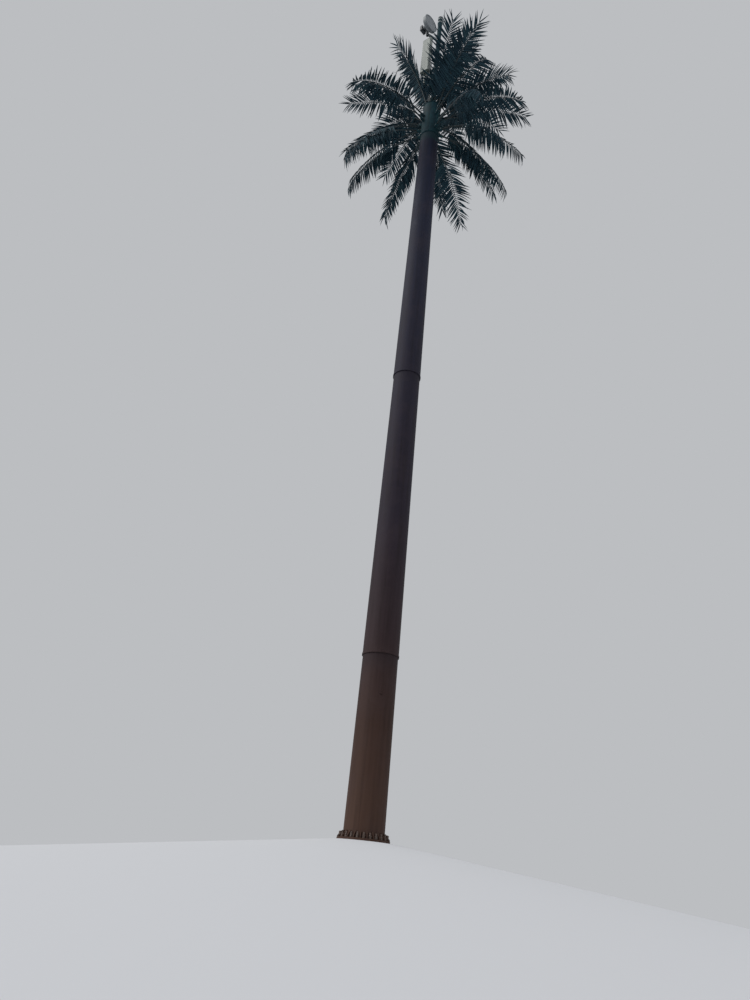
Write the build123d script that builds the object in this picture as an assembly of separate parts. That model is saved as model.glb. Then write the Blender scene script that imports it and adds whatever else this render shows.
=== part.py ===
from build123d import *
import math
import os

# Palm-style monopole antenna tower. Millimetres, +Z up.
# Origin: centre of the underside of the base flange.

# Base
flange_t = 50.0            # base plate thickness
bolt_count = 24            # anchor bolts on one circle
bolt_hole_r = 22.0
bolt_offset = 68.0         # bolt circle outside the trunk wall
flange_edge = 58.0         # plate beyond the bolt circle
gusset_h = 140.0
gusset_t = 16.0
gusset_gap = 6.0           # gusset foot short of the plate's rim
gusset_toe = 25.0          # upright edge at the foot

# Trunk: three tapered shells, each slipped over the one below
base_od = 915.0            # outside diameter at the ground
taper = 0.0155             # diameter lost per unit of height
wall = 12.0
slip_clear = 0.3           # radial clearance in a slip joint
joint_1_z = 4070.0         # lower edge of the middle shell
joint_2_z = 12250.0        # lower edge of the upper shell
joint_3_z = 22410.0        # lower edge of the crown pole
slip_1 = 1300.0            # overlap of each joint
slip_2 = 1130.0
slip_3 = 900.0
rim_h = 55.0               # edge ring at the foot of each upper shell
rim_t = 11.0
lug_drop = 950.0           # jacking lugs below the first joint
lug_w = 70.0
lug_h = 30.0
lug_out = 32.0
lug_bearing = 281.0

# Crown pole, its top plate and the slim mast that carries the antennas
head_margin = 350.0        # crown pole above the sockets of its highest tier
plate_t = 25.0
plate_over = 15.0          # plate beyond the pole's wall
mast_r = 84.0
mast_wall = 8.0
mast_flange_r = 150.0
mast_flange_t = 20.0
mast_gusset_n = 6
mast_gusset_h = 110.0
mast_gusset_t = 10.0
mast_over_dish = 1200.0    # mast top above the dish's axis
cap_t = 12.0
cap_over = 10.0            # cap beyond the mast's wall
cap_rise = 30.0
rod_r = 9.0
rod_over = 650.0           # rod above the cap
rod_held = 400.0           # rod below the mast's top
rod_gap = 56.0             # rod axis outside the mast
rod_bearing = 10.0
rod_clamp_h = 50.0
rod_clamp_t = 12.0
rod_clamp_drop = [90.0, 290.0]

# Fronds: stem, leaflets and the sockets that carry them
stem_long = 3200.0
stem_middling = 3100.0
stem_short = 2900.0
stem_w = 56.0
stem_t = 42.0
stem_tip = 0.2             # share of the stem's section left near the tip
stem_steps = 6
grip = 150.0               # stem length in its socket, from the pocket's end to the point where it bends
socket_short = 10.0        # bend clear of the socket's mouth
socket_wall = 8.0
socket_clear = 0.4
socket_gap = 6.0           # socket pocket's end clear of the pole's wall
plate_ring_r = 205.0       # ring of sockets on the top plate
leaf_pairs = 13
leaf_len = 800.0
leaf_w = 76.0
leaf_t = 10.0
leaf_start = 0.2           # share of the stem that stays bare
leaf_sweep = 20.0          # leaflet angle towards the tip, at the stem's foot
leaf_sweep_gain = 50.0
leaf_wedge = 17.0          # leaflets stay in this angle about the pole's axis, each side
antenna_room = 300.0       # leaflets near the mast are cut away this far around an antenna
skirt_over_joint = 280.0   # height of each tier's sockets above what is below it
lower_over_skirt = 320.0
middle_over_lower = 300.0
upper_over_middle = 280.0
top_over_plate = 22.0
stagger = 50.0             # scatter of the sockets in height

# Each tier: its sockets' height above the tier below, rise of the stem and its droop in
# degrees, stem length, how far leaflets hang, and each frond's bearing and extra rise.
tiers = {
    "skirt": (skirt_over_joint, 0.0, 76.0, stem_long, -0.85, [
        (18, 6), (62, 10), (116, 16), (150, 12), (184, -2), (298, 8), (334, -2),
    ]),
    "lower": (lower_over_skirt, 14.0, 76.0, stem_long, -0.65, [
        (4, 6), (40, 12), (77, 16), (112, 8), (147, 4), (181, -14), (218, 4), (314, 12),
    ]),
    "middle": (middle_over_lower, 36.0, 72.0, stem_long, 0.0, [
        (2, 12), (42, 0), (80, 0), (118, 8), (152, 2), (216, -20), (298, -18), (331, -17),
    ]),
    "upper": (upper_over_middle, 60.0, 50.0, stem_middling, 0.1, [
        (352, 6), (30, -6), (66, 4), (100, 0), (133, -2), (166, -12), (304, 12),
    ]),
    "top": (top_over_plate, 76.0, 24.0, stem_short, 0.15, [
        (173, 3), (198, -2), (286, -3), (311, -6), (336, 0), (75, 0),
    ]),
}

# Sector antennas
sector_bearings = [235.0, 355.0, 115.0]
panel_rise = 1185.0        # panel's foot above the crown plate
pipe_r = 38.0
pipe_wall = 5.0
pipe_reach = 402.0         # pipe axis outside the mast
pipe_over = 200.0          # pipe beyond each end of its panel
pipe_clear = 0.3
collar_h = 110.0
collar_t = 14.0
collar_inset = 420.0       # collars inside each end of the panels
arm_w = 70.0
arm_h = 80.0
clamp_t = 12.0
panel_w = 350.0
panel_d = 160.0
panel_h = 1800.0
panel_r = 45.0             # corner radius of the radome
panel_cap_t = 14.0
panel_cap_lip = 3.0
panel_gap = 62.0           # panel's back outside the pipe
bracket_inset = 140.0      # brackets inside each end of the panel
bracket_h = 60.0
bracket_w = 120.0
bracket_plate_t = 10.0
port_r = 14.0              # connectors under each panel
port_len = 35.0
port_pitch = 60.0

# Dish link
dish_bearing = 317.0       # direction the dish faces
dish_r = 320.0
dish_rise = 1090.0         # dish axis above the panels
dish_shroud = 130.0
dish_deep = 120.0
dish_lip = 12.0
hub_r = 60.0
hub_len = 90.0
dish_side = 170.0          # hub axis beside the pipe
dish_back = 175.0          # pipe axis behind the dish's rim plane
dish_pipe_bearing = 205.6
dish_pipe_reach = 405.0    # pipe axis outside the mast
dish_pipe_len = 620.0
dish_arm_drop = 170.0      # arm below the dish axis
yoke_h = 100.0
yoke_t = 30.0
yoke_ring = 14.0
radio_w = 240.0
radio_h = 260.0
radio_d = 90.0
radio_fin_n = 7
radio_fin_h = 22.0
radio_fin_t = 7.0
radio_drop = 35.0


def lower_r(z):
    return (base_od - taper * z) / 2


def middle_r(z):
    return lower_r(z) + wall + slip_clear


def upper_r(z):
    return middle_r(z) + wall + slip_clear


def crown_r(z):
    return upper_r(z) + wall + slip_clear


def tier_z(tier):
    """Height of a tier's sockets; the top tier stands on the crown plate."""
    z = joint_3_z
    for name, values in tiers.items():
        if name == "top":
            z += head_margin + plate_t
        z += values[0]
        if name == tier:
            return z


crown_top_z = tier_z("upper") + head_margin
plate_z = crown_top_z + plate_t
panel_foot_z = plate_z + panel_rise
panel_top_z = panel_foot_z + panel_h
dish_z = panel_top_z + dish_rise
mast_top_z = dish_z + mast_over_dish
pipe_at = mast_r + pipe_reach


def turned(points):
    """Solid turned about Z from a closed outline of (radius, height)."""
    return revolve(make_face(Plane.XZ * Polyline(*points, close=True)), Axis.Z)


def shell(radius, z0, z1, thickness):
    """Tapered tube with an edge ring at its foot."""
    return turned([
        (radius(z0) - thickness, z0),
        (radius(z0) + rim_t, z0),
        (radius(z0) + rim_t, z0 + rim_h - rim_t),
        (radius(z0 + rim_h), z0 + rim_h),
        (radius(z1), z1),
        (radius(z1) - thickness, z1),
    ])


def spun(shape, bearing):
    return Rot(0, 0, bearing) * shape


def tube(outer, inner, height):
    """Upright tube standing on z = 0."""
    ring = Circle(outer) - Circle(inner)
    return extrude(ring, height)


def box(x0, x1, y0, y1, z0, z1):
    return Pos((x0 + x1) / 2, (y0 + y1) / 2, (z0 + z1) / 2) * Box(x1 - x0, y1 - y0, z1 - z0)


parts = {}

# Base flange with its anchor bolt holes
bolt_circle_r = base_od / 2 + bolt_offset
flange_r = bolt_circle_r + flange_edge
plate = Pos(0, 0, flange_t / 2) * Cylinder(flange_r, flange_t)
holes = [
    loc * Cylinder(bolt_hole_r, 2 * flange_t)
    for loc in PolarLocations(bolt_circle_r, bolt_count)
]
plate = plate - holes
plate = chamfer(plate.edges().filter_by(GeomType.CIRCLE).group_by(SortBy.RADIUS)[-1], 4)
parts["base_flange"] = plate

# Gussets between the bolts
foot_x = flange_r - gusset_gap
gusset_face = make_face(Plane.XZ * Polyline(
    (lower_r(flange_t), flange_t),
    (foot_x, flange_t),
    (foot_x, flange_t + gusset_toe),
    (lower_r(flange_t + gusset_h) + gusset_toe, flange_t + gusset_h),
    (lower_r(flange_t + gusset_h), flange_t + gusset_h),
    close=True,
))
gusset = extrude(gusset_face, gusset_t / 2, both=True)
parts["base_gussets"] = Compound(children=[
    spun(gusset, 360.0 / bolt_count * (i + 0.5)) for i in range(bolt_count)
])

# Trunk shells
lower_top_z = joint_1_z + slip_1
lower = turned([
    (lower_r(flange_t) - wall, flange_t),
    (lower_r(flange_t), flange_t),
    (lower_r(lower_top_z), lower_top_z),
    (lower_r(lower_top_z) - wall, lower_top_z),
])
lug_z = joint_1_z - lug_drop
lug_x = lower_r(lug_z)
lug = box(lug_x - wall / 2, lug_x + lug_out, -lug_w / 2, lug_w / 2, lug_z - lug_h / 2, lug_z + lug_h / 2)
lug = chamfer(lug.edges().filter_by(Axis.Y).group_by(Axis.X)[-1], lug_h / 4)
parts["trunk_lower"] = lower + spun(lug, lug_bearing) + spun(lug, lug_bearing + 180)
parts["trunk_middle"] = shell(middle_r, joint_1_z, joint_2_z + slip_2, wall)
parts["trunk_upper"] = shell(upper_r, joint_2_z, joint_3_z + slip_3, wall)


def stem_point(rise, droop, length, s):
    """Radial reach, height and slope of a stem at the length s along its arc."""
    curl = droop / length
    slope = rise - curl * s
    return (
        (math.sin(rise) - math.sin(slope)) / curl,
        (math.cos(slope) - math.cos(rise)) / curl,
        slope,
    )


def frond_plan():
    """Name, tier, bearing, foot radius, foot height and slope of every frond."""
    number = 0
    for t, (tier, (_, rise, _, _, _, places)) in enumerate(tiers.items()):
        for i, (bearing, extra) in enumerate(places):
            number += 1
            slope = rise + extra
            if tier == "top":
                foot_z = tier_z(tier)
                foot_r = plate_ring_r
            else:
                foot_z = tier_z(tier) + stagger * math.sin(1.9 * i + 0.9 * t + 1)
                half = stem_t / 2 + socket_clear + socket_wall
                foot_r = crown_r(foot_z) + half * math.sin(math.radians(slope)) + socket_gap
            yield f"frond_{number:02d}", tier, bearing, foot_r, foot_z, slope


def faceted(rings, tip):
    """Tapered solid through rings of corners to a point, bounded by flat faces."""
    count = len(rings[0])
    outlines = [rings[0][::-1]]
    for near, far in zip(rings, rings[1:]):
        for i in range(count):
            j = (i + 1) % count
            outlines += [[near[i], near[j], far[j]], [near[i], far[j], far[i]]]
    outlines += [[rings[-1][i], rings[-1][(i + 1) % count], tip] for i in range(count)]
    return Solid(Shell([Face(Wire.make_polygon(line, close=True)) for line in outlines]))


def near_antenna(point):
    """Whether a point lies in the room kept around a sector antenna and its pipe."""
    reach = pipe_at + pipe_r + panel_gap / 2
    for bearing in sector_bearings:
        x = reach * math.cos(math.radians(bearing))
        y = reach * math.sin(math.radians(bearing))
        level = panel_foot_z - 2 * pipe_over < point.Z < panel_top_z + 2 * pipe_over
        if level and math.hypot(point.X - x, point.Y - y) < antenna_room:
            return True
    return False


def make_frond(rise, droop, length, hang, place=None):
    """Curved tapering stem with pointed leaflets, in the XZ plane, its foot at the origin."""
    rise, droop = math.radians(rise), math.radians(droop)
    mouth = Vector(grip * math.cos(rise), 0, grip * math.sin(rise))
    joints = [(Vector(0, 0, 0), rise)]
    for i in range(stem_steps + 1):
        x, z, slope = stem_point(rise, droop, length, length * i / stem_steps)
        joints.append((mouth + Vector(x, 0, z), slope))

    rings = []
    for i, (point, slope) in enumerate(joints[:-1]):
        size = 1 - (1 - stem_tip) * max(0, i - 1) / stem_steps
        out = Vector(0, stem_w / 2 * size, 0)
        up = Vector(-math.sin(slope), 0, math.cos(slope)) * (stem_t / 2 * size)
        rings.append([point - out - up, point + out - up, point + out + up, point - out + up])
    stem = faceted(rings, joints[-1][0])

    leaves = []
    for side in (-1, 1):
        for i in range(leaf_pairs):
            share = leaf_start + (0.97 - leaf_start) * (i + (0.3 if side > 0 else 0.7)) / leaf_pairs
            step = min(int(share * stem_steps), stem_steps - 1)
            (start, _), (stop, _) = joints[step + 1], joints[step + 2]
            point = start + (stop - start) * (share * stem_steps - step)
            slope = rise - droop * share
            along = Vector(math.cos(slope), 0, math.sin(slope))
            up = Vector(-math.sin(slope), 0, math.cos(slope) + 1) * 0.5
            sweep = math.radians(leaf_sweep + leaf_sweep_gain * share ** 3)
            heading = Vector(0, side * math.cos(sweep), 0) + along * math.sin(sweep) + up * hang
            heading = heading.normalized()
            blade = leaf_len * math.sin(math.pi * (0.22 + 0.58 * share)) ** 0.6
            room = (crown_r(crown_top_z) + point.X) * math.tan(math.radians(leaf_wedge))
            blade = min(blade, room / abs(heading.Y))
            points = [point + heading * (blade * part / 3) for part in (1, 2, 3)]
            if place and any(near_antenna((place * Location(p)).position) for p in points):
                continue
            broad = along - heading * along.dot(heading)
            broad = broad.normalized() * (leaf_w / 2)
            ridge = heading.cross(broad).normalized() * (leaf_t * side)
            foot = [point - broad - ridge / 3, point + broad - ridge / 3, point + ridge * 2 / 3]
            leaves.append(faceted([foot[::side]], points[-1]))
    return stem.fuse(*leaves)


plan = list(frond_plan())


def make_sockets(places):
    """Sleeves for the stems at these places, and the pockets to be cut into them."""
    sleeves = []
    pockets = []
    for _, tier, bearing, foot_r, foot_z, slope in places:
        slope = math.radians(slope)
        aim = Plane(
            origin=(foot_r, 0, foot_z), x_dir=(0, 1, 0), z_dir=(math.cos(slope), 0, math.sin(slope))
        )
        width = stem_w + 2 * (socket_clear + socket_wall)
        depth = stem_t + 2 * (socket_clear + socket_wall)
        if tier == "top":
            root = (foot_z - plate_z + depth / 2 * math.cos(slope) + plate_t / 2) / math.sin(slope)
        else:
            root = (foot_r - crown_r(foot_z) + depth / 2 * math.sin(slope) + wall) / math.cos(slope)
        sleeve = extrude(aim.offset(-root) * Rectangle(width, depth), root + grip - socket_short)
        pocket = extrude(
            aim * Rectangle(stem_w + 2 * socket_clear, stem_t + 2 * socket_clear), grip
        )
        sleeves.append(spun(sleeve, bearing))
        pockets.append(spun(pocket, bearing))
    return sleeves, pockets


# Crown pole with a socket for each frond of its tiers
crown = shell(crown_r, joint_3_z, crown_top_z, wall)
bore = turned([
    (0, joint_3_z),
    (crown_r(joint_3_z) - wall / 2, joint_3_z),
    (crown_r(crown_top_z) - wall / 2, crown_top_z),
    (0, crown_top_z),
])
sleeves, pockets = make_sockets([p for p in plan if p[1] != "top"])
sleeves = [s - bore for s in sleeves]
parts["crown_pole"] = crown.fuse(*sleeves).cut(*pockets)

# Crown plate with the sockets of the top tier
plate_r = crown_r(crown_top_z) + plate_over
plate = Pos(0, 0, crown_top_z + plate_t / 2) * Cylinder(plate_r, plate_t)
plate = chamfer(plate.edges().filter_by(GeomType.CIRCLE), 3)
sleeves, pockets = make_sockets([p for p in plan if p[1] == "top"])
below = Pos(0, 0, plate_z - plate_t / 2 - grip / 2) * Cylinder(plate_r, grip)
sleeves = [s - below for s in sleeves]
plate_bore = Pos(0, 0, crown_top_z + plate_t / 2) * Cylinder(mast_r - mast_wall, 2 * plate_t)
parts["crown_plate"] = plate.fuse(*sleeves).cut(plate_bore, *pockets)

# Fronds, alike within a tier but for the top one, whose leaflets make room for the antennas
masters = {tier: make_frond(*values[1:5]) for tier, values in tiers.items() if tier != "top"}
for name, tier, bearing, foot_r, foot_z, slope in plan:
    values = tiers[tier]
    place = Rot(0, 0, bearing) * Pos(foot_r, 0, foot_z) * Rot(0, values[1] - slope, 0)
    frond = masters[tier] if tier in masters else make_frond(*values[1:5], place)
    parts[name] = place * frond

# Mast on the crown plate, its cap and the lightning rod
mast = turned([
    (mast_r - mast_wall, plate_z),
    (mast_flange_r, plate_z),
    (mast_flange_r, plate_z + mast_flange_t),
    (mast_r, plate_z + mast_flange_t),
    (mast_r, mast_top_z),
    (mast_r - mast_wall, mast_top_z),
])
gusset_face = make_face(Plane.XZ * Polyline(
    (mast_r - mast_wall / 2, plate_z + mast_flange_t / 2),
    (mast_flange_r - 8, plate_z + mast_flange_t / 2),
    (mast_flange_r - 8, plate_z + mast_flange_t + 10),
    (mast_r + 10, plate_z + mast_flange_t + mast_gusset_h),
    (mast_r - mast_wall / 2, plate_z + mast_flange_t + mast_gusset_h),
    close=True,
))
gusset = extrude(gusset_face, mast_gusset_t / 2, both=True)
parts["mast"] = mast.fuse(*[spun(gusset, 360.0 / mast_gusset_n * i) for i in range(mast_gusset_n)])

cap_r = mast_r + cap_over
parts["mast_cap"] = turned([
    (0, mast_top_z),
    (cap_r, mast_top_z),
    (cap_r, mast_top_z + cap_t),
    (cap_r * 0.6, mast_top_z + cap_rise * 0.85),
    (0, mast_top_z + cap_rise),
])

rod_at = mast_r + rod_gap
rod_foot_z = mast_top_z - rod_held
rod_top_z = mast_top_z + cap_rise + rod_over
rod = turned([
    (0, rod_foot_z),
    (rod_r, rod_foot_z),
    (rod_r, rod_top_z - 5 * rod_r),
    (0, rod_top_z),
])
parts["lightning_rod"] = spun(Pos(rod_at, 0, 0) * rod, rod_bearing)

rod_clamps = []
for drop in rod_clamp_drop:
    mid = mast_top_z - drop
    ring = Pos(0, 0, mid) * Cylinder(mast_r + rod_clamp_t, rod_clamp_h)
    arm = box(mast_r, rod_at, -rod_r, rod_r, mid - rod_clamp_h / 2, mid + rod_clamp_h / 2)
    boss = Pos(rod_at, 0, mid) * Cylinder(rod_r + rod_clamp_t / 2, rod_clamp_h)
    clamp = ring.fuse(arm, boss).cut(
        Pos(0, 0, mid) * Cylinder(mast_r, rod_clamp_h + 2),
        Pos(rod_at, 0, mid) * Cylinder(rod_r, rod_clamp_h + 2),
    )
    rod_clamps.append(spun(clamp, rod_bearing))
parts["rod_clamps"] = Compound(children=rod_clamps)

# Collars that carry the three antenna pipes
clamp_r = pipe_r + pipe_clear + clamp_t
collar_z = [panel_foot_z + collar_inset, panel_top_z - collar_inset - collar_h]
for name, z in zip(("collar_lower", "collar_upper"), collar_z):
    mid = z + collar_h / 2
    ring = Pos(0, 0, mid) * Cylinder(mast_r + collar_t, collar_h)
    arm = box(mast_r, pipe_at, -arm_w / 2, arm_w / 2, mid - arm_h / 2, mid + arm_h / 2)
    clamp = Pos(pipe_at, 0, z) * tube(clamp_r, pipe_r / 2, collar_h)
    arms = [spun(arm + clamp, b) for b in sector_bearings]
    bores = [
        spun(Pos(pipe_at, 0, mid) * Cylinder(pipe_r + pipe_clear, collar_h + 2), b)
        for b in sector_bearings
    ]
    parts[name] = ring.fuse(*arms).cut(Pos(0, 0, mid) * Cylinder(mast_r, collar_h + 2), *bores)

pipe = Pos(pipe_at, 0, panel_foot_z - pipe_over) * tube(pipe_r, pipe_r - pipe_wall, panel_h + 2 * pipe_over)
parts["antenna_pipes"] = Compound(children=[spun(pipe, b) for b in sector_bearings])

# Panel antennas and the brackets that hold them to the pipes
panel_x = pipe_at + pipe_r + panel_gap
body = Pos(panel_x + panel_d / 2, 0, panel_foot_z) * extrude(
    RectangleRounded(panel_d, panel_w, panel_r), panel_h
)
end = extrude(
    RectangleRounded(panel_d + 2 * panel_cap_lip, panel_w + 2 * panel_cap_lip, panel_r + panel_cap_lip),
    panel_cap_t,
)
panel = body
for z in (panel_foot_z - panel_cap_t / 2, panel_foot_z + panel_h - panel_cap_t / 2):
    panel = panel + Pos(panel_x + panel_d / 2, 0, z) * end
for i in range(4):
    y = (i - 1.5) * port_pitch
    panel = panel + Pos(panel_x + panel_d / 2, y, panel_foot_z - port_len / 2) * Cylinder(port_r, port_len)
for i, b in enumerate(sector_bearings):
    parts[f"panel_antenna_{i + 1}"] = spun(panel, b)

brackets = []
for z in (panel_foot_z + bracket_inset, panel_top_z - bracket_inset - bracket_h):
    back_x = panel_x - panel_cap_lip
    clamp = Pos(pipe_at, 0, z) * tube(clamp_r, pipe_r / 2, bracket_h)
    strap = box(pipe_at, back_x, -clamp_r * 0.7, clamp_r * 0.7, z, z + bracket_h)
    plate = box(
        back_x - bracket_plate_t, panel_x, -bracket_w / 2, bracket_w / 2, z - 10, z + bracket_h + 10
    )
    bracket = clamp + strap + plate
    bracket = bracket - Pos(pipe_at, 0, z + bracket_h / 2) * Cylinder(pipe_r + pipe_clear, bracket_h + 2)
    brackets += [spun(bracket, b) for b in sector_bearings]
parts["tilt_brackets"] = Compound(children=brackets)

# Dish: arm and pipe, yoke, drum and radio
dish_pipe_at = mast_r + dish_pipe_reach
arm_z = dish_z - dish_arm_drop
ring = Pos(0, 0, arm_z) * Cylinder(mast_r + collar_t, collar_h)
arm = box(mast_r, dish_pipe_at, -arm_w / 2, arm_w / 2, arm_z - arm_h / 2, arm_z + arm_h / 2)
clamp = Pos(dish_pipe_at, 0, arm_z - collar_h / 2) * tube(clamp_r, pipe_r / 2, collar_h)
arm = spun(arm + clamp, dish_pipe_bearing)
arm_bore = spun(Pos(dish_pipe_at, 0, arm_z) * Cylinder(pipe_r + pipe_clear, collar_h + 2), dish_pipe_bearing)
parts["dish_arm"] = ring.fuse(arm).cut(Pos(0, 0, arm_z) * Cylinder(mast_r, collar_h + 2), arm_bore)

dish_pipe = Pos(dish_pipe_at, 0, arm_z - 90) * tube(pipe_r, pipe_r - pipe_wall, dish_pipe_len)
parts["dish_pipe"] = spun(dish_pipe, dish_pipe_bearing)

pipe_x = dish_pipe_at * math.cos(math.radians(dish_pipe_bearing))
pipe_y = dish_pipe_at * math.sin(math.radians(dish_pipe_bearing))
# Dish frame: X faces the beam, the pipe lies at (-dish_back, +dish_side)
dish_frame = Pos(pipe_x, pipe_y, dish_z) * Rot(0, 0, dish_bearing) * Pos(dish_back, -dish_side, 0)
drum = turned([
    (0, -dish_deep - hub_len),
    (hub_r, -dish_deep - hub_len),
    (hub_r, -dish_deep),
    (dish_r * 0.55, -dish_deep * 0.72),
    (dish_r * 0.85, -dish_deep * 0.32),
    (dish_r, 0),
    (dish_r, dish_shroud - 2 * dish_lip),
    (dish_r + dish_lip, dish_shroud - 2 * dish_lip),
    (dish_r + dish_lip, dish_shroud),
    (dish_r - dish_lip, dish_shroud),
    (dish_r - dish_lip, dish_shroud - dish_lip),
    (0, dish_shroud - dish_lip),
])
parts["dish_antenna"] = dish_frame * Rot(0, 90, 0) * drum

yoke_x = -dish_back
yoke_ring_r = hub_r + slip_clear + yoke_ring
yoke = Pos(yoke_x, 0, 0) * Rot(0, 90, 0) * Cylinder(yoke_ring_r, yoke_t)
link = box(yoke_x - yoke_t / 2, yoke_x + yoke_t / 2, 0, dish_side, -yoke_h / 2, yoke_h / 2)
clamp = Pos(yoke_x, dish_side, -yoke_h / 2) * tube(clamp_r, pipe_r / 2, yoke_h)
yoke = (yoke + link + clamp).cut(
    Pos(yoke_x, 0, 0) * Rot(0, 90, 0) * Cylinder(hub_r + slip_clear, yoke_t * 4),
    Pos(yoke_x, dish_side, 0) * Cylinder(pipe_r + pipe_clear, yoke_h + 2),
)
parts["dish_yoke"] = dish_frame * yoke

radio_x = -dish_deep - hub_len
case = box(radio_x - radio_d, radio_x, -radio_w / 2, radio_w / 2,
           -radio_h / 2 - radio_drop, radio_h / 2 - radio_drop)
case = fillet(case.edges().filter_by(Axis.X), 18)
pitch = radio_w / radio_fin_n
for i in range(radio_fin_n):
    y = (i - (radio_fin_n - 1) / 2) * pitch
    case = case + box(radio_x - radio_d - radio_fin_h, radio_x - radio_d, y - radio_fin_t / 2,
                      y + radio_fin_t / 2, -radio_h / 2 - radio_drop + 20, radio_h / 2 - radio_drop - 20)
parts["dish_radio"] = dish_frame * case

os.makedirs("parts", exist_ok=True)
for name, shape in parts.items():
    export_step(shape, f"parts/{name}.step")
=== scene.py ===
import math
import random

import bmesh
import bpy
from mathutils import Matrix, Vector


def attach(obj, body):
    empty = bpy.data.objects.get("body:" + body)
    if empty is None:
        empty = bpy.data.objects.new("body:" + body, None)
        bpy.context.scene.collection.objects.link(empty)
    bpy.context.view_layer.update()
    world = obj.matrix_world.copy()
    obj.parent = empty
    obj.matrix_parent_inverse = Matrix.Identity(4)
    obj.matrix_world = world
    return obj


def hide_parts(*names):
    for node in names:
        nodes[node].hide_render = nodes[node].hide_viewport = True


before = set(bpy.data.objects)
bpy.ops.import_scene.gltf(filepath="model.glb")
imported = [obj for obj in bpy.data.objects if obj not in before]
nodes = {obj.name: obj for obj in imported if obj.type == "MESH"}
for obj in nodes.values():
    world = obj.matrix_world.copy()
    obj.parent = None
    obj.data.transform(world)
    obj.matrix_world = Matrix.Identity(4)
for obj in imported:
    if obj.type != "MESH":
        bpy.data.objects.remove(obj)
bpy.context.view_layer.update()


# Base flange, gussets and the three trunk shells: rolled and welded steel plate, galvanised and
# then rolled with a matt, gritty brown paint, each shell slipped over the one below. The paint
# has faded and streaked, and under each edge ring it is darkened with painted shade.
def srgb(code):
    """Linear colour from an sRGB hex value."""
    parts = [int(code[i:i + 2], 16) / 255 for i in (1, 3, 5)]
    return [c / 12.92 if c <= 0.04045 else ((c + 0.055) / 1.055) ** 2.4 for c in parts] + [1.0]


def add(tree, kind, inputs=None, ramp=(), **settings):
    """Adds a shader node with its settings and links.

    An input given as an output socket is linked, and anything else is set. The stops of a
    colour ramp are pairs of a place and an sRGB hex value.
    """
    node = tree.nodes.new("ShaderNode" + kind)
    for key, value in settings.items():
        setattr(node, key, value)
    for key, value in (inputs or {}).items():
        if isinstance(value, bpy.types.NodeSocket):
            tree.links.new(value, node.inputs[key])
        else:
            node.inputs[key].default_value = value
    stops = node.color_ramp.elements if ramp else ()
    while len(stops) < len(ramp):
        stops.new(0.5)
    for stop, (spot, code) in zip(stops, ramp):
        stop.position = spot
        stop.color = srgb(code)
    return node


def material(name):
    """A new material with its node tree, shader and object coordinates."""
    made = bpy.data.materials.new(name)
    made.use_nodes = True
    tree = made.node_tree
    return made, tree, tree.nodes["Principled BSDF"], add(tree, "TexCoord").outputs["Object"]


def dress(made, *names):
    """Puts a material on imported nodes."""
    for name in names:
        mesh = nodes[name].data
        mesh.materials.clear()
        mesh.materials.append(made)


trunk_height = 22.4
trunk_joints = (4.07, 12.25)
# How far the painted shade under each joint reaches down
lip_shade_length = 0.55
lap_start, lap_end = 0.05, 0.25

# The brown is warm and bleached near the foot, where dust is splashed up. Its darkening to a cold
# violet brown with height is painted shade and haze, standing in for the pole's backlit top
brown_paint, tree, shader, place = material("brown_pole_paint")
height = add(tree, "SeparateXYZ", {"Vector": place}).outputs["Z"]
way_up = add(tree, "MapRange", {"Value": height, "From Max": trunk_height}).outputs["Result"]
coat = add(tree, "ValToRGB", {"Fac": way_up}, ramp=[
    (0.0, "#4a352a"), (0.1, "#3e2a22"), (0.2, "#312326"),
    (0.35, "#241d2a"), (0.6, "#1d1d2f"), (1.0, "#192137"),
]).outputs["Color"]
# Rain streaks, about 110 mm wide and 2 m long
long_place = add(tree, "Mapping", {"Vector": place, "Scale": (9, 9, 0.45)}).outputs["Vector"]
streak = add(tree, "TexNoise", {
    "Vector": long_place, "Scale": 1.0, "Detail": 5.0, "Roughness": 0.62,
}).outputs["Fac"]
streak_tone = add(tree, "ValToRGB", {"Fac": streak}, ramp=[
    (0.3, "#b8aaa2"), (0.5, "#e8e2df"), (0.72, "#ffffff"),
]).outputs["Color"]
coat = add(tree, "MixRGB", {
    "Fac": 0.75, "Color1": coat, "Color2": streak_tone,
}, blend_type="MULTIPLY").outputs["Color"]
# Chalked patches, about 0.6 m across
chalk = add(tree, "TexNoise", {
    "Vector": place, "Scale": 1.7, "Detail": 6.0, "Roughness": 0.7,
}).outputs["Fac"]
chalk_amount = add(tree, "MapRange", {
    "Value": chalk, "From Min": 0.45, "From Max": 0.85, "To Max": 0.3,
}).outputs["Result"]
coat = add(tree, "MixRGB", {
    "Fac": chalk_amount, "Color1": coat, "Color2": srgb("#4a3f40"),
}).outputs["Color"]
# Painted shade: below each joint the shell is darkened under the lip of the shell above, unevenly
for joint in trunk_joints:
    below = add(tree, "MapRange", {
        "Value": height, "From Min": joint - lip_shade_length, "From Max": joint, "To Max": 0.7,
    }, interpolation_type="SMOOTHSTEP").outputs["Result"]
    ends = add(tree, "Math", {0: height, 1: joint}, operation="LESS_THAN").outputs["Value"]
    lip_shade = add(tree, "Math", {0: below, 1: ends}, operation="MULTIPLY").outputs["Value"]
    uneven = add(tree, "Math", {0: lip_shade, 1: streak}, operation="MULTIPLY").outputs["Value"]
    coat = add(tree, "MixRGB", {
        "Fac": uneven, "Color1": coat, "Color2": srgb("#17131a"),
    }).outputs["Color"]
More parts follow.
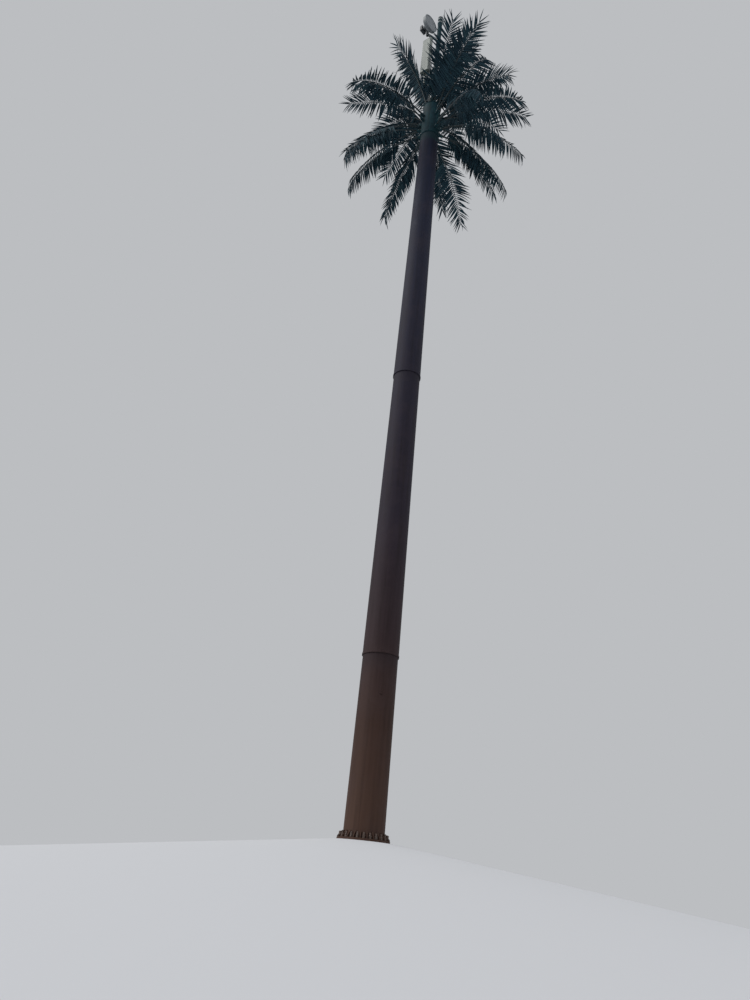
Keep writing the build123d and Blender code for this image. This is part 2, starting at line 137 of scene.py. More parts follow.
# The crown's green was brushed a little way down over the brown, with a ragged edge
ragged = add(tree, "Math", {0: height, 1: chalk}, operation="ADD").outputs["Value"]
painted_over = add(tree, "MapRange", {
    "Value": ragged, "From Min": trunk_height + lap_start, "From Max": trunk_height + lap_end,
}).outputs["Result"]
coat = add(tree, "MixRGB", {
    "Fac": painted_over, "Color1": coat, "Color2": srgb("#112a32"),
}).outputs["Color"]
tree.links.new(coat, shader.inputs["Base Color"])
dull = add(tree, "MapRange", {"Value": chalk, "To Min": 0.6, "To Max": 0.88}).outputs["Result"]
tree.links.new(dull, shader.inputs["Roughness"])
# Chalk and dust take the gloss of fresh paint away, so its IOR is low
shader.inputs["IOR"].default_value = 1.32
# Roller stipple: 5 mm on the real coat, drawn at 12 mm so that it shows
stipple = add(tree, "TexNoise", {"Vector": place, "Scale": 1 / 0.012, "Detail": 3.0})
relief = add(tree, "Bump", {
    "Height": stipple.outputs["Fac"], "Strength": 0.25, "Distance": 0.002,
})
tree.links.new(relief.outputs["Normal"], shader.inputs["Normal"])
dress(brown_paint, "base_flange", "base_gussets", "trunk_lower", "trunk_middle", "trunk_upper")


# Anchor bolts: threaded rods cast into the foundation, each with a washer, a heavy hexagon nut
# and a thin lock nut on the flange. Turned steel bar and forged nuts, hot-dip galvanised and
# painted over with the pole, so the coat is thin on the edges.
def finish_piece(name, bm, slot, *made, smooth=False):
    """Turns a bmesh into a piece that rides on the tower."""
    bmesh.ops.remove_doubles(bm, verts=bm.verts, dist=1e-6)
    bmesh.ops.recalc_face_normals(bm, faces=bm.faces)
    mesh = bpy.data.meshes.new(name)
    bm.to_mesh(mesh)
    bm.free()
    for face in mesh.polygons:
        face.use_smooth = smooth
    for coat in made:
        mesh.materials.append(coat)
    piece = bpy.data.objects.new(name, mesh)
    bpy.context.scene.collection.objects.link(piece)
    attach(piece, "root")
    return piece


def edges_at(verts):
    """The edges that meet some vertices, each once and in the same order every run."""
    return list(dict.fromkeys(e for v in verts for e in v.link_edges))


def round_bar(bm, radius, low, high, where, segments, chamfer=0.0):
    """An upright bar or, with six segments, a hexagon nut, its rims chamfered."""
    made = bmesh.ops.create_cone(
        bm, cap_ends=True, segments=segments, radius1=radius, radius2=radius, depth=high - low,
        matrix=where @ Matrix.Translation((0, 0, (low + high) / 2)),
    )
    if chamfer:
        rims = [
            e for e in edges_at(made["verts"])
            if len(e.link_faces) == 2 and any(len(f.verts) == segments for f in e.link_faces)
        ]
        bmesh.ops.bevel(
            bm, geom=rims, offset=chamfer, segments=1, profile=0.5, affect="EDGES", material=-1,
        )


flange_top = 0.050
bolt_count = 24
bolt_circle = 0.5255
bolt_radius, bolt_low, bolt_high = 0.0195, -0.045, 0.118
washer_radius, washer_high = 0.034, 0.006
nut_radius, nut_high = 0.0346, 0.040
lock_nut_low, lock_nut_high = 0.041, 0.062
nut_chamfer, bolt_chamfer = 0.003, 0.002

bm = bmesh.new()
for i in range(bolt_count):
    spot = (
        Matrix.Rotation(math.tau * i / bolt_count, 4, "Z")
        @ Matrix.Translation((bolt_circle, 0, flange_top))
    )
    round_bar(bm, washer_radius, 0.0, washer_high, spot, segments=20)
    for low, high in ((washer_high, nut_high), (lock_nut_low, lock_nut_high)):
        round_bar(bm, nut_radius, low, high, spot, segments=6, chamfer=nut_chamfer)
    round_bar(bm, bolt_radius, bolt_low, bolt_high, spot, segments=14, chamfer=bolt_chamfer)
# Paint worn off in flakes of about 20 mm, down to the zinc
bolt_coat, tree, shader, place = material("painted_galvanised_bolt")
worn = add(tree, "TexNoise", {"Vector": place, "Scale": 45.0, "Detail": 4.0})
tone = add(tree, "ValToRGB", {"Fac": worn.outputs["Fac"]}, ramp=[
    (0.35, "#4a3a34"), (0.55, "#57483f"), (0.7, "#77706a"),
])
tree.links.new(tone.outputs["Color"], shader.inputs["Base Color"])
shader.inputs["Roughness"].default_value = 0.55
shader.inputs["Metallic"].default_value = 0.2
# The thread's pitch: 4 mm on the real bolt, 5 mm here
thread = add(tree, "TexWave", {
    "Vector": place, "Scale": 60.0, "Distortion": 0.3,
}, bands_direction="Z")
relief = add(tree, "Bump", {"Height": thread.outputs["Fac"], "Strength": 0.3, "Distance": 0.002})
tree.links.new(relief.outputs["Normal"], shader.inputs["Normal"])
finish_piece("anchor_bolts", bm, "trunk_paint", bolt_coat)


# Welds: a fillet run round the foot of the trunk where it stands on the flange, and the seam up
# the back of each rolled shell. Laid by machine, ground a little and painted with the pole.
fillet_radius, fillet_circle, fillet_height = 0.009, 0.4590, 0.0515
seam_radius = 0.006
seam_flatness = 0.45
seam_bearing = 98
# Low and high end of each seam, and the shell's radius at both
seams = [
    (0.060, 4.060, 0.45703, 0.42603),
    (4.135, 12.240, 0.43775, 0.37494),
    (12.315, 22.400, 0.38666, 0.30850),
]

bm = bmesh.new()
bead = bmesh.ops.create_circle(
    bm, segments=8, radius=fillet_radius,
    matrix=Matrix.Translation((fillet_circle, 0, fillet_height))
    @ Matrix.Rotation(math.radians(90), 4, "X"),
)
bmesh.ops.spin(
    bm, geom=bead["verts"] + edges_at(bead["verts"]), cent=(0, 0, 0), axis=(0, 0, 1),
    angle=math.tau, steps=96, use_merge=True,
)
for low, high, low_radius, high_radius in seams:
    slant = math.atan2(low_radius - high_radius, high - low)
    seam = bmesh.ops.create_cone(
        bm, cap_ends=True, segments=8, radius1=seam_radius, radius2=seam_radius,
        depth=high - low,
    )
    where = (
        Matrix.Rotation(math.radians(seam_bearing), 4, "Z")
        @ Matrix.Translation(((low_radius + high_radius) / 2, 0, (low + high) / 2))
        @ Matrix.Rotation(-slant, 4, "Y") @ Matrix.Diagonal((seam_flatness, 1, 1, 1))
    )
    bmesh.ops.transform(bm, matrix=where, verts=seam["verts"])
finish_piece("trunk_welds", bm, "trunk_paint", brown_paint, smooth=True)


# Crown pole with its top plate, and the mast with its cap and antenna collars: steel painted the
# dark green of the fronds, so that the head of the pole is lost among them. A brushed matt coat,
# dusty and mottled in patches, with no gloss left.
green_paint, tree, shader, place = material("green_crown_paint")
# Patches of about 0.3 m, and rain streaks 80 mm wide and 1.2 m long
patch = add(tree, "TexNoise", {
    "Vector": place, "Scale": 3.2, "Detail": 6.0, "Roughness": 0.65,
}).outputs["Fac"]
tone = add(tree, "ValToRGB", {"Fac": patch}, ramp=[
    (0.3, "#0a2932"), (0.5, "#0e343e"), (0.62, "#143e44"), (0.8, "#1d484b"),
])
long_place = add(tree, "Mapping", {"Vector": place, "Scale": (12, 12, 0.8)}).outputs["Vector"]
wash = add(tree, "TexNoise", {"Vector": long_place, "Scale": 1.0, "Detail": 4.0})
wash_tone = add(tree, "ValToRGB", {"Fac": wash.outputs["Fac"]}, ramp=[
    (0.35, "#9aa39f"), (0.65, "#ffffff"),
])
coat = add(tree, "MixRGB", {
    "Fac": 0.8, "Color1": tone.outputs["Color"], "Color2": wash_tone.outputs["Color"],
}, blend_type="MULTIPLY")
tree.links.new(coat.outputs["Color"], shader.inputs["Base Color"])
dull = add(tree, "MapRange", {"Value": patch, "To Min": 0.6, "To Max": 0.85})
tree.links.new(dull.outputs["Result"], shader.inputs["Roughness"])
# Low for a paint, because dust lies on it
shader.inputs["IOR"].default_value = 1.28
# Brush marks, 4 mm wide on the real coat, drawn at 10 mm
brushed = add(tree, "Mapping", {"Vector": place, "Scale": (100, 100, 12)}).outputs["Vector"]
marks = add(tree, "TexNoise", {"Vector": brushed, "Scale": 1.0, "Detail": 2.0})
relief = add(tree, "Bump", {"Height": marks.outputs["Fac"], "Strength": 0.3, "Distance": 0.002})
tree.links.new(relief.outputs["Normal"], shader.inputs["Normal"])
dress(green_paint, "crown_pole", "crown_plate", "mast", "mast_cap", "collar_lower", "collar_upper")


# Lightning rod: a solid aluminium bar with a turned point, held beside the mast's top by two
# clamps. Mill finish gone dark grey in the weather, in blotches of about 40 mm.
rod_metal, tree, shader, place = material("weathered_aluminium")
blotch = add(tree, "TexNoise", {"Vector": place, "Scale": 25.0, "Detail": 4.0})
tone = add(tree, "ValToRGB", {"Fac": blotch.outputs["Fac"]}, ramp=[
    (0.35, "#2c2f32"), (0.65, "#3f4245"),
])
tree.links.new(tone.outputs["Color"], shader.inputs["Base Color"])
shader.inputs["Metallic"].default_value = 0.85
shader.inputs["Roughness"].default_value = 0.6
dress(rod_metal, "lightning_rod")


# Antenna pipes, tilt brackets, the rod's clamps and the dish's arm, pipe and yoke: hot-dip
# galvanised steel, sawn, drilled and bolted. The zinc has gone dull and shows its spangle, in
# grains of 18 mm, only as a faint mottle.
zinc, tree, shader, place = material("galvanised_steel")
spangle = add(tree, "TexVoronoi", {"Vector": place, "Scale": 1 / 0.018}).outputs["Distance"]
tone = add(tree, "ValToRGB", {"Fac": spangle}, ramp=[
    (0.1, "#6c7274"), (0.5, "#7c8284"), (0.9, "#8b9193"),
])
tree.links.new(tone.outputs["Color"], shader.inputs["Base Color"])
shader.inputs["Metallic"].default_value = 0.6
rough = add(tree, "MapRange", {"Value": spangle, "To Min": 0.42, "To Max": 0.6})
tree.links.new(rough.outputs["Result"], shader.inputs["Roughness"])
dress(zinc, "antenna_pipes", "tilt_brackets", "rod_clamps", "dish_arm", "dish_pipe", "dish_yoke")


# Panel antennas: a pultruded glass-fibre radome with glued end caps, left in its pale grey-green
# gelcoat. Matt, slightly chalked, with dirt run down from the top cap.
radome, tree, shader, place = material("grey_green_radome")
# Dirt runs, 45 mm wide and 0.8 m long
long_place = add(tree, "Mapping", {"Vector": place, "Scale": (22, 22, 1.2)}).outputs["Vector"]
runs = add(tree, "TexNoise", {
    "Vector": long_place, "Scale": 1.0, "Detail": 5.0, "Roughness": 0.6,
})
# Painted shade: all tones are darker than the gelcoat's own grey-green, for the leaflets' shadow
tone = add(tree, "ValToRGB", {"Fac": runs.outputs["Fac"]}, ramp=[
    (0.3, "#5f6761"), (0.5, "#6d756f"), (0.7, "#797f77"),
])
tree.links.new(tone.outputs["Color"], shader.inputs["Base Color"])
shader.inputs["Roughness"].default_value = 0.48
shader.inputs["IOR"].default_value = 1.5
# The glass mat's weave, 6 mm, prints through the gelcoat
weave = add(tree, "TexNoise", {"Vector": place, "Scale": 1 / 0.006, "Detail": 2.0})
relief = add(tree, "Bump", {"Height": weave.outputs["Fac"], "Strength": 0.15, "Distance": 0.001})
tree.links.new(relief.outputs["Normal"], shader.inputs["Normal"])
dress(radome, "panel_antenna_1", "panel_antenna_2", "panel_antenna_3")


# Dish: spun aluminium reflector with a riveted shroud and a stretched fabric radome, all in one
# grey powder coat. Smooth and satin, with dust in patches of about 110 mm.
dish_coat, tree, shader, place = material("grey_powder_coat")
dust = add(tree, "TexNoise", {"Vector": place, "Scale": 9.0, "Detail": 5.0})
tone = add(tree, "ValToRGB", {"Fac": dust.outputs["Fac"]}, ramp=[
    (0.3, "#61666a"), (0.55, "#71777a"), (0.75, "#7f8487"),
])
tree.links.new(tone.outputs["Color"], shader.inputs["Base Color"])
shader.inputs["Roughness"].default_value = 0.5
dress(dish_coat, "dish_antenna")


# Dish radio: die-cast aluminium case with cooling fins, bolted to the hub of the dish. Dark grey
# powder coat, faded in spots of about 30 mm.
cast_coat, tree, shader, place = material("dark_powder_coat")
faded = add(tree, "TexNoise", {"Vector": place, "Scale": 30.0, "Detail": 4.0})
tone = add(tree, "ValToRGB", {"Fac": faded.outputs["Fac"]}, ramp=[
    (0.35, "#2a2f33"), (0.65, "#3a4045"),
])
tree.links.new(tone.outputs["Color"], shader.inputs["Base Color"])
shader.inputs["Roughness"].default_value = 0.58
dress(cast_coat, "dish_radio")


# Bolts of the mast's flange and set screws of the antenna clamps: stock bolts and screws with
# hexagon heads, those of the mast on washers, galvanised like the pipes that they hold.
plate_top, mast_flange = 23.965, 0.020
mast_flange_top = plate_top + mast_flange
mast_bolt_count = 6
mast_bolt_circle = 0.124
first_mast_bolt = 30
mast_bolt_radius, mast_bolt_high = 0.0098, 0.026
mast_nut_radius, mast_nut_high = 0.0165, 0.016
mast_washer_radius, mast_washer_high = 0.0185, 0.003
antenna_bearings = (235.0, 355.0, 115.0)
pipe_circle = 0.486
clamp_mids = (25.625, 26.475)
clamp_radius = 0.0503
screw_turn, screw_rise, screw_bed = 55, 0.03, 0.002
head_radius, head_high = 0.0104, 0.010
mast_nut_chamfer, head_chamfer = 0.0015, 0.001

bm = bmesh.new()
for i in range(mast_bolt_count):
    spot = (
        Matrix.Rotation(math.radians(first_mast_bolt + 360 / mast_bolt_count * i), 4, "Z")
        @ Matrix.Translation((mast_bolt_circle, 0, mast_flange_top))
    )
    round_bar(bm, mast_washer_radius, 0.0, mast_washer_high, spot, segments=18)
    round_bar(
        bm, mast_nut_radius, mast_washer_high, mast_nut_high, spot, segments=6,
        chamfer=mast_nut_chamfer,
    )
    round_bar(
        bm, mast_bolt_radius, mast_nut_high, mast_bolt_high, spot, segments=12,
        chamfer=head_chamfer,
    )
for bearing in antenna_bearings:
    for mid in clamp_mids:
        for turn in (screw_turn, -screw_turn):
            for up in (-screw_rise, screw_rise):
                spot = (
                    Matrix.Rotation(math.radians(bearing), 4, "Z")
                    @ Matrix.Translation((pipe_circle, 0, mid + up))
                    @ Matrix.Rotation(math.radians(turn), 4, "Z")
                    @ Matrix.Rotation(math.radians(90), 4, "Y")
                    @ Matrix.Translation((0, 0, clamp_radius - screw_bed))
                )
                round_bar(bm, head_radius, 0.0, head_high, spot, segments=6, chamfer=head_chamfer)
finish_piece("mast_and_clamp_bolts", bm, "galvanised_steel", zinc)


# Fronds: each a glass-fibre stem, square where it plugs into its socket, with creased leaflets
# of moulded polyethylene stapled along both sides. The lower tiers' leaflets hang and trail from
# the stem's end, and the upper tiers' stand out square and end in a star.
grip, grip_play = 0.150, 0.002
stem_width, stem_depth = 0.056, 0.042
stem_end = 0.2
stem_steps = 14
socket_width, socket_depth = 0.0728, 0.0588
stand_off = 0.006
stagger = 0.05
plate_ring = 0.205
# Each tier: height of its sockets, rise at the socket and droop along the stem in degrees, the
# stem's length, the leaflets' hang, the share of the stem where they start, and their pairs.
# Each frond: its bearing, and how many degrees it is raised beyond its tier.
tiers = [
    (22.690, 0.0, 76.0, 3.2, -1.7, 0.27, 32, [
        (18, 6), (62, 10), (116, 16), (150, 12), (184, -2), (298, 8), (334, -2),
    ]),
    (23.010, 14.0, 76.0, 3.2, -1.5, 0.26, 33, [
        (4, 6), (40, 12), (77, 16), (112, 8), (147, 4), (181, -14), (218, 4), (314, 12),
    ]),
    (23.310, 36.0, 72.0, 3.2, 0.0, 0.2, 40, [
        (2, 12), (42, 0), (80, 0), (118, 8), (152, 2), (216, -20), (298, -18), (331, -17),
    ]),
    (23.590, 60.0, 50.0, 3.1, 0.1, 0.08, 40, [
        (352, 6), (30, -6), (66, 4), (100, 0), (133, -2), (166, -12), (304, 12),
    ]),
    (23.987, 76.0, 24.0, 2.9, 0.15, 0.02, 40, [
        (173, 3), (198, -2), (286, -3), (311, -6), (336, 0), (75, 0),
    ]),
]
# Fronds, counted through the tiers, whose leaflets stand out flatter or hang more than the rest
own_hang = {1: -2.6, 2: -0.4, 4: -2.4, 5: -2.4, 9: -2.8, 12: -2.4, 17: -1.3, 20: -1.2}
# Leaflets are cut back around the antennas and their pipes, and for some way before their faces
antenna_reach = 0.555
antenna_low, antenna_high = 25.1, 27.35
antenna_room, front_room = 0.2, 0.9
pipe_foot, pipe_room = 24.75, 0.12
leaf_length, leaf_width = 0.82, 0.086
leaf_thickness, tip_width = 0.010, 0.006
shortest_leaf = 0.2
cut_step = 0.8
# Where on the section of the stem a leaflet is stapled, as shares of its width and depth
staple_out, staple_up = 0.46, 0.15
# Degrees by which a leaflet leans along the stem, and what its end adds
lean, end_lean = 20, 45
# Past this much hang the lengths along the stem change no further. Hanging leaflets keep at least
# the second value's share of their hang where the stem is steep.
hang_limit, hang_floor = 1.7, 0.7
# What chance does to a leaflet: its lean in degrees, hang, twist in radians, length and tone,
# and the share of them that have been lost
lean_chance, hang_chance, twist_chance = 5, 0.1, 0.4
length_chance, tone_chance = (0.88, 1.0), (0.2, 0.9)
lost_share = 0.02
# How far out the steep upper fronds turn bare, against the others
upper_bare = 0.4
pole_diameter, pole_taper, crown_lap = 0.915, 0.0155, 0.0369
# The socket's bolt goes through at this share of the grip
bolt_place = 0.62
socket_washer_radius, socket_washer_high = 0.0125, 0.002


def crown_radius(z):
    """Outside radius of the crown pole."""
    return (pole_diameter - pole_taper * z) / 2 + crown_lap


def near_antenna(point):
    """Whether a point lies around a panel antenna and its pipe, or close before its face."""
    for bearing in antenna_bearings:
        local = Matrix.Rotation(math.radians(-bearing), 3, "Z") @ point
        beyond = local.x - antenna_reach
        if pipe_foot < local.z < antenna_low and math.hypot(beyond, local.y) < pipe_room:
            return True
        if antenna_low < local.z < antenna_high:
            if math.hypot(beyond, local.y) < antenna_room:
                return True
            if 0 < beyond < front_room and abs(local.y) < antenna_room:
                return True
    return False


def leaf_blade(curl, fold):
    """A creased, pointed leaflet one unit long: a four-sided cone, cut across and bent."""
    root, point = 0.5, 0.03
    bm = bmesh.new()
    bmesh.ops.create_cone(bm, cap_ends=True, segments=4, radius1=root, radius2=point, depth=1.0)
    long_edges = [e for e in bm.edges if abs(e.verts[0].co.z - e.verts[1].co.z) > 0.5]
    bmesh.ops.subdivide_edges(bm, edges=long_edges, cuts=5, use_grid_fill=True)
    for v in bm.verts:
        t = v.co.z + 0.5
        cone = 1 - (1 - point / root) * t
        # Narrow at the staple, broad from a quarter of its length on, and drawn to a point
        outline = min(1.0, 0.35 + 2.6 * t) * (1 - t ** 1.8)
        breadth = leaf_width / leaf_length * outline + tip_width
        x = v.co.x / cone * breadth
        y = v.co.y / cone * leaf_thickness * (1 - 0.7 * t) + fold * abs(x)
        angle = curl * t
        v.co.x = x
        v.co.y = -(1 - math.cos(angle)) / curl + y * math.cos(angle)
        v.co.z = math.sin(angle) / curl + y * math.sin(angle)
    mesh = bpy.data.meshes.new("leaf_pattern")
    bm.to_mesh(mesh)
    bm.free()
    return mesh


# Four moulds, from a nearly flat leaflet to one that has curled in the sun
blades = [
    leaf_blade(curl, fold) for curl, fold in ((0.1, 0.55), (0.25, 0.6), (0.45, 0.5), (0.7, 0.45))
]

# Injection-moulded polyethylene: dark blue-green right through, a little bleached in patches of
# about 0.4 m, and each leaflet a slightly different tone
leaf_plastic, tree, shader, place = material("moulded_leaf_plastic")
patch = add(tree, "TexNoise", {"Vector": place, "Scale": 2.4, "Detail": 3.0}).outputs["Fac"]
own = add(tree, "Attribute", attribute_name="leaf_tone").outputs["Fac"]
both = add(tree, "Math", {0: patch, 1: own}, operation="ADD").outputs["Value"]
half = add(tree, "Math", {0: both, 1: 0.5}, operation="MULTIPLY").outputs["Value"]
tone = add(tree, "ValToRGB", {"Fac": half}, ramp=[
    (0.30, "#112730"), (0.45, "#182f3a"), (0.58, "#203a45"), (0.74, "#2e4951"),
])
tree.links.new(tone.outputs["Color"], shader.inputs["Base Color"])
shader.inputs["Roughness"].default_value = 0.8
# Low for polyethylene, because dust and the weather have taken its gloss
shader.inputs["IOR"].default_value = 1.3
# The ribs along each leaflet, 4 mm apart, are drawn as a grain of 16 mm so that they show
ribs = add(tree, "TexNoise", {"Vector": place, "Scale": 1 / 0.016, "Detail": 2.0})
relief = add(tree, "Bump", {"Height": ribs.outputs["Fac"], "Strength": 0.35, "Distance": 0.003})
tree.links.new(relief.outputs["Normal"], shader.inputs["Normal"])

# Pultruded glass fibre: brushed green with the crown pole near the socket, and bare grey resin
# further out, where the stem shows as a pale rib between its leaflets. On a stem, leaf_tone
# tells how far out it is. Stains are about 170 mm long.
stem_coat, tree, shader, place = material("glass_fibre_stem")
stain = add(tree, "TexNoise", {"Vector": place, "Scale": 6.0, "Detail": 4.0}).outputs["Fac"]
way_out = add(tree, "Attribute", attribute_name="leaf_tone").outputs["Fac"]
green = add(tree, "ValToRGB", {"Fac": stain}, ramp=[
    (0.35, "#0a181c"), (0.55, "#102125"), (0.75, "#1b2c2e"),
])
resin = add(tree, "ValToRGB", {"Fac": stain}, ramp=[
    (0.35, "#50565c"), (0.55, "#666c70"), (0.75, "#777d80"),
])
bare = add(tree, "MapRange", {"Value": way_out, "From Min": 0.2, "From Max": 0.45})
tone = add(tree, "MixRGB", {
    "Fac": bare.outputs["Result"], "Color1": green.outputs["Color"],
    "Color2": resin.outputs["Color"],
})
tree.links.new(tone.outputs["Color"], shader.inputs["Base Color"])
shader.inputs["Roughness"].default_value = 0.62
shader.inputs["IOR"].default_value = 1.4


def leaf_reach(share, fall):
    """Length of a leaflet by its place on the stem: the longest stand in the middle.

    Leaflets that hang get shorter towards the stem's end, and the very last ones trail.
    """
    spread = math.sin(math.pi * (0.22 + 0.58 * share)) ** (0.6 + 0.1 * fall)
    taper = (0.28 + 0.1 * fall) * share ** (4 - fall)
    trail = 0.28 * fall * share ** 12
    return leaf_length * spread * (1 - taper + trail)


def frond_mesh(rise, droop, length, hang, start, pairs, dice, where):
    """Stem and leaflets of one frond, set in its socket by the matrix."""
    rise, droop = math.radians(rise), math.radians(droop)
    curl = droop / length
    mouth = Vector((grip * math.cos(rise), 0, grip * math.sin(rise)))

    def at(s):
        """Point and slope of the stem at a length from the socket's mouth."""
        slope = rise - curl * s
        reach = Vector((math.sin(rise) - math.sin(slope), 0, math.cos(slope) - math.cos(rise)))
        return mouth + reach / curl, slope

    def section(s):
        """Matrix that sets a unit section across the stem."""
        point, slope = at(max(s, 0.0))
        if s < 0:
            point = point + Vector((math.cos(rise), 0, math.sin(rise))) * s
        size = 1 - (1 - stem_end) * max(s, 0.0) / length
        along = Vector((math.cos(slope), 0, math.sin(slope)))
        up = Vector((-math.sin(slope), 0, math.cos(slope)))
        turn = Matrix((Vector((0, 1, 0)), up, along)).transposed().to_4x4()
        scale = Matrix.Diagonal((stem_width * size, stem_depth * size, 1, 1))
        return Matrix.Translation(point) @ turn @ scale

    bm = bmesh.new()
    leaf_tone = bm.faces.layers.float.new("leaf_tone")
    spots = [-grip + grip_play, 0.0]
    spots += [length * (i + 1) / stem_steps for i in range(stem_steps)]
    now = section(spots[0])
    ring = bmesh.ops.create_circle(bm, cap_ends=True, segments=10, radius=0.5, matrix=now)
    edges = edges_at(ring["verts"])
    for s in spots[1:]:
        new = section(s)
        grown = bmesh.ops.extrude_edge_only(bm, edges=edges)["geom"]
        verts = [g for g in grown if isinstance(g, bmesh.types.BMVert)]
        edges = [g for g in grown if isinstance(g, bmesh.types.BMEdge)]
        bmesh.ops.transform(bm, matrix=new @ now.inverted(), verts=verts)
        now = new
        for face in (g for g in grown if isinstance(g, bmesh.types.BMFace)):
            face[leaf_tone] = max(s, 0.0) / length * (1 if hang < 0 else upper_bare)
    bmesh.ops.edgeloop_fill(bm, edges=edges)
    for face in bm.faces:
        face.material_index = 1

    # The two sides are staggered. The hang eases towards the stem's end.
    fall = min(max(-hang, 0), hang_limit)
    for side in (-1, 1):
        for i in range(pairs):
            share = start + (0.995 - start) * (i + (0.3 if side > 0 else 0.7)) / pairs
            point, slope = at(share * length)
            size = 1 - (1 - stem_end) * share
            along = Vector((math.cos(slope), 0, math.sin(slope)))
            normal = Vector((-math.sin(slope), 0, math.cos(slope)))
            up = (normal + Vector((0, 0, 1))) / 2
            up = up * max(math.cos(slope), hang_floor if hang < 0 else 0)
            chance = dice.uniform(-lean_chance, lean_chance) * (1 + 2 * share ** 6)
            sweep = math.radians(lean + end_lean * share ** 4 + chance)
            heading = Vector((0, side * math.cos(sweep), 0)) + along * math.sin(sweep)
            drift = dice.uniform(-hang_chance, hang_chance)
            heading += up * (hang * (1 - 0.6 * share ** 3) + drift)
            heading.normalize()
            long = leaf_reach(share, fall) * dice.uniform(*length_chance)
            twist = Matrix.Rotation(dice.uniform(-twist_chance, twist_chance), 4, "Z")
            pick = int(len(blades) * dice.random() ** 1.5)
            shade = dice.uniform(*tone_chance)
            lost = dice.random() < lost_share
            while long > shortest_leaf and any(
                near_antenna(where @ (point + heading * long * part)) for part in (0.5, 1.0)
            ):
                long *= cut_step
            if lost or long <= shortest_leaf:
                continue
            face = up - heading * up.dot(heading)
            face.normalize()
            wide = face.cross(heading)
            turn = Matrix((wide, face, heading)).transposed().to_4x4()
            foot = (
                point + Vector((0, side * stem_width * size * staple_out, 0))
                + normal * stem_depth * size * staple_up
            )
            old_verts, old_faces = len(bm.verts), len(bm.faces)
            bm.from_mesh(blades[pick])
            bm.verts.ensure_lookup_table()
            bm.faces.ensure_lookup_table()
            bmesh.ops.transform(
                bm, matrix=Matrix.Translation(foot) @ turn @ twist @ Matrix.Scale(long, 4),
                verts=bm.verts[old_verts:],
            )
            for face in bm.faces[old_faces:]:
                face[leaf_tone] = shade
    bmesh.ops.transform(bm, matrix=where, verts=bm.verts)
    return bm


number = 0
socket_bolts = bmesh.new()
for t, (z, rise, droop, length, hang, start, pairs, places) in enumerate(tiers):
    for i, (bearing, extra) in enumerate(places):
        number += 1
        if t == len(tiers) - 1:
            foot_z, foot_r = z, plate_ring
        else:
            slope = math.radians(rise + extra)
            foot_z = z + stagger * math.sin(1.9 * i + 0.9 * t + 1)
            foot_r = crown_radius(foot_z) + socket_depth / 2 * math.sin(slope) + stand_off
        where = (
            Matrix.Rotation(math.radians(bearing), 4, "Z")
            @ Matrix.Translation((foot_r, 0, foot_z))
            @ Matrix.Rotation(math.radians(-extra), 4, "Y")
        )
        bm = frond_mesh(
            rise, droop, length, own_hang.get(number, hang), start, pairs,
            random.Random(100 + number), where,
        )
        name = f"palm_frond_{number:02d}"
        frond = finish_piece(name, bm, "frond_plastic", leaf_plastic, stem_coat)
        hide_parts(f"frond_{number:02d}")

        # Bolt through the socket and the stem, with a washer on each side
        middle = Vector((math.cos(math.radians(rise)), 0, math.sin(math.radians(rise))))
        middle = middle * (grip * bolt_place)
        for side in (-1, 1):
            outside = (
                where @ Matrix.Translation(middle)
                @ Matrix.Rotation(math.radians(-90 * side), 4, "X")
                @ Matrix.Translation((0, 0, socket_width / 2))
            )
            round_bar(
                socket_bolts, socket_washer_radius, 0.0, socket_washer_high, outside,
                segments=14,
            )
            round_bar(
                socket_bolts, head_radius, socket_washer_high, head_high, outside,
                segments=6, chamfer=head_chamfer,
            )
finish_piece("socket_bolts", socket_bolts, "galvanised_steel", zinc)


# Floor, light and camera. The eye stands a little below the foot of the tower, so the pale
# floor is a low mound with a flat top that the flange stands on.
mound_top = 0.70
mound_slope = 0.125
mound_rings = (1.5, 4.0, 9.0, 18.0, 40.0, 120.0)

bm = bmesh.new()
rim = bmesh.ops.create_circle(bm, cap_ends=True, segments=96, radius=mound_top)
edges = edges_at(rim["verts"])
inner = mound_top
for outer in mound_rings:
    drop = mound_slope * (outer - inner)
    grown = bmesh.ops.extrude_edge_only(bm, edges=edges)["geom"]
    verts = [g for g in grown if isinstance(g, bmesh.types.BMVert)]
    edges = [g for g in grown if isinstance(g, bmesh.types.BMEdge)]
    bmesh.ops.scale(bm, vec=(outer / inner, outer / inner, 1), verts=verts)
    bmesh.ops.translate(bm, vec=(0, 0, -drop), verts=verts)
    inner = outer
bmesh.ops.recalc_face_normals(bm, faces=bm.faces)
mesh = bpy.data.meshes.new("floor")
bm.to_mesh(mesh)
bm.free()
pale_floor, tree, shader, place = material("pale_floor")
shader.inputs["Base Color"].default_value = srgb("#c6c7c9")
shader.inputs["Roughness"].default_value = 0.9
mesh.materials.append(pale_floor)
floor = bpy.data.objects.new("floor", mesh)
bpy.context.scene.collection.objects.link(floor)

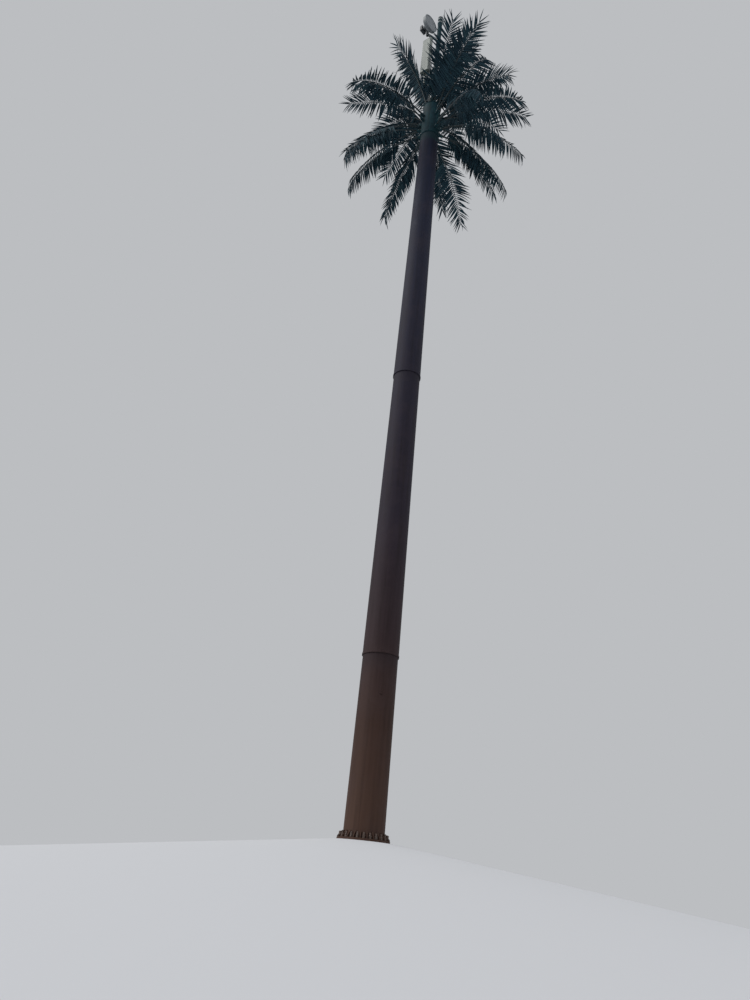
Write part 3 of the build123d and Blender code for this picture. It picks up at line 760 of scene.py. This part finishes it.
# The world lights the tower with a soft cold light, and shows as a pale grey backdrop
world = bpy.data.worlds.new("soft_light")
bpy.context.scene.world = world
world.use_nodes = True
tree = world.node_tree
background = tree.nodes["Background"]
paths = add(tree, "LightPath").outputs
seen = add(tree, "Math", {
    0: paths["Is Camera Ray"], 1: paths["Is Glossy Ray"],
}, operation="MAXIMUM").outputs["Value"]
seen = add(tree, "Math", {
    0: seen, 1: paths["Is Transmission Ray"],
}, operation="MAXIMUM").outputs["Value"]
light = add(tree, "MixRGB", {
    "Fac": seen, "Color1": (0.52, 0.54, 0.58, 1), "Color2": srgb("#bcbec1"),
})
tree.links.new(light.outputs["Color"], background.inputs["Color"])
background.inputs["Strength"].default_value = 1.0


def sun(name, energy, angle, bearing, elevation, colour):
    """A soft distant lamp that shines from a bearing and elevation in degrees."""
    lamp = bpy.data.lights.new(name, "SUN")
    lamp.energy = energy
    lamp.angle = math.radians(angle)
    lamp.color = colour
    thing = bpy.data.objects.new(name, lamp)
    b, e = math.radians(bearing), math.radians(elevation)
    source = Vector((math.cos(b) * math.cos(e), math.sin(b) * math.cos(e), math.sin(e)))
    thing.rotation_euler = source.to_track_quat("Z", "Y").to_euler()
    bpy.context.scene.collection.objects.link(thing)


sun("key", 2.0, 50, 192, 40, (1.0, 0.98, 0.95))
sun("fill", 0.3, 90, 320, 30, (0.95, 0.97, 1.0))

# The camera stands 18 m before the tower, tipped up and rolled as the photograph's was
eye = (0, -18.0, -0.69)
turned, pitch, roll = math.radians(1.70), math.radians(26.397), math.radians(6.134)
focal_length, frame_height = 759.1, 1000
forward = Vector((
    -math.sin(turned) * math.cos(pitch), math.cos(turned) * math.cos(pitch), math.sin(pitch),
))
level = Vector((math.cos(turned), math.sin(turned), 0))
above = level.cross(forward)
right = level * math.cos(roll) + above * math.sin(roll)
top = above * math.cos(roll) - level * math.sin(roll)
lens = bpy.data.cameras.new("camera")
lens.sensor_fit = "VERTICAL"
lens.sensor_height = 36
lens.lens = focal_length / frame_height * lens.sensor_height
lens.clip_end = 500
camera = bpy.data.objects.new("camera", lens)
aim = Matrix((right, top, -forward)).transposed().to_4x4()
camera.matrix_world = Matrix.Translation(eye) @ aim
bpy.context.scene.collection.objects.link(camera)
bpy.context.scene.camera = camera
bpy.context.scene.view_settings.view_transform = "Standard"
